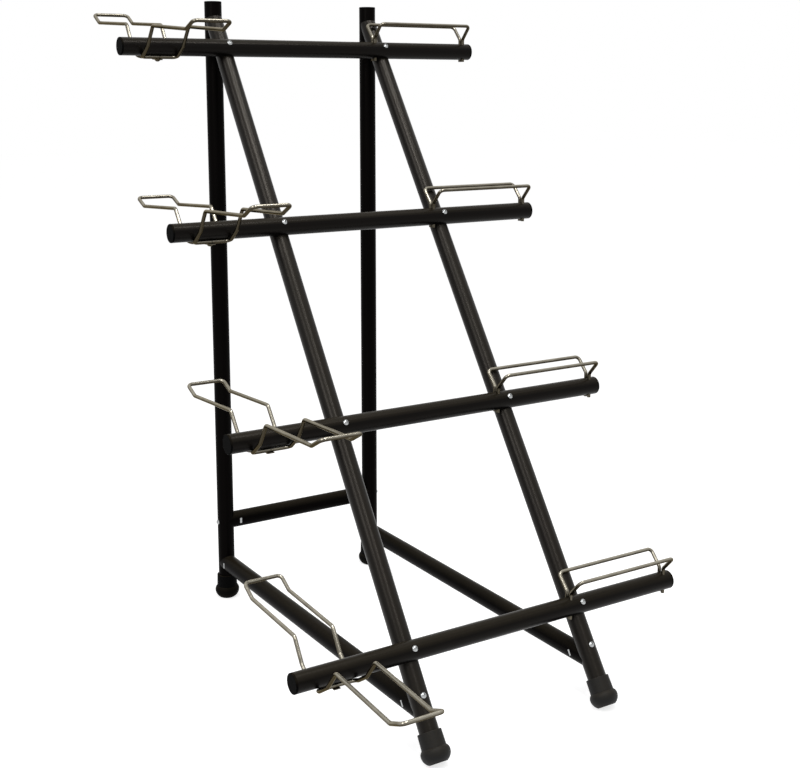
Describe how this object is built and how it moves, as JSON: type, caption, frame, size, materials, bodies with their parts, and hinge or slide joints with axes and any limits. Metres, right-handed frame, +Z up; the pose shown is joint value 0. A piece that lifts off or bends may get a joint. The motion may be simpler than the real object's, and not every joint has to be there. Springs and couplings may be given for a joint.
{
  "type": "bicycle display rack",
  "caption": "Free-standing tubular display rack for small bicycles: sloping legs carry rising bars, each with wire wings for stabiliser wheels and a wire cradle for the front wheel.",
  "frame": {"origin": "on the floor, under the middle of the whole rack's bounding box", "axes": "+X along the bars from the wings to the wheel cradles, -Y towards the user in front of the sloping legs, +Z up"},
  "size_m": [0.928, 1.4038, 1.461],
  "materials": {
    "black_steel": "black powder coat, semi-gloss, faint orange peel",
    "bright_wire": "bright zinc-plated drawn wire, near mirror",
    "zinc_hardware": "bright zinc-plated bolts, nuts, washers and clamp plates",
    "cap_plastic": "black moulded polyethylene, fine grain",
    "foot_rubber": "black moulded rubber, matt"
  },
  "bodies": {
    "root": {"bar_bolts": "zinc_hardware", "bar_nuts": "zinc_hardware", "bar_washers": "zinc_hardware", "bottom_bar": "black_steel", "bottom_bar_left_cap": "cap_plastic", "bottom_bar_right_cap": "cap_plastic", "bottom_front_rail": "bright_wire", "bottom_front_wing": "bright_wire", "bottom_rear_rail": "bright_wire", "bottom_rear_wing": "bright_wire", "crossbar_bolts": "zinc_hardware", "crossbar_cross_nuts": "zinc_hardware", "front_left_foot": "foot_rubber", "front_right_foot": "foot_rubber", "left_leg": "black_steel", "left_post": "black_steel", "left_post_cap": "cap_plastic", "left_stretcher": "black_steel", "leg_top_bolts": "zinc_hardware", "leg_top_cross_nuts": "zinc_hardware", "rear_crossbar": "black_steel", "rear_left_foot": "foot_rubber", "rear_right_foot": "foot_rubber", "right_leg": "black_steel", "right_post": "black_steel", "right_post_cap": "cap_plastic", "right_stretcher": "black_steel", "second_bar": "black_steel", "second_bar_left_cap": "cap_plastic", "second_bar_right_cap": "cap_plastic", "second_front_rail": "bright_wire", "second_front_wing": "bright_wire", "second_rear_rail": "bright_wire", "second_rear_wing": "bright_wire", "stretcher_front_bolts": "zinc_hardware", "stretcher_front_cross_nuts": "zinc_hardware", "stretcher_rear_bolts": "zinc_hardware", "stretcher_rear_cross_nuts": "zinc_hardware", "third_bar": "black_steel", "third_bar_left_cap": "cap_plastic", "third_bar_right_cap": "cap_plastic", "third_front_rail": "bright_wire", "third_front_wing": "bright_wire", "third_rear_rail": "bright_wire", "third_rear_wing": "bright_wire", "top_bar": "black_steel", "top_bar_left_cap": "cap_plastic", "top_bar_right_cap": "cap_plastic", "top_front_rail": "bright_wire", "top_front_wing": "bright_wire", "top_rear_rail": "bright_wire", "top_rear_wing": "bright_wire", "wing_clamp_plates": "zinc_hardware", "wing_clamp_screws": "zinc_hardware", "wing_rivet_nuts": "zinc_hardware"}
  },
  "joints": []
}
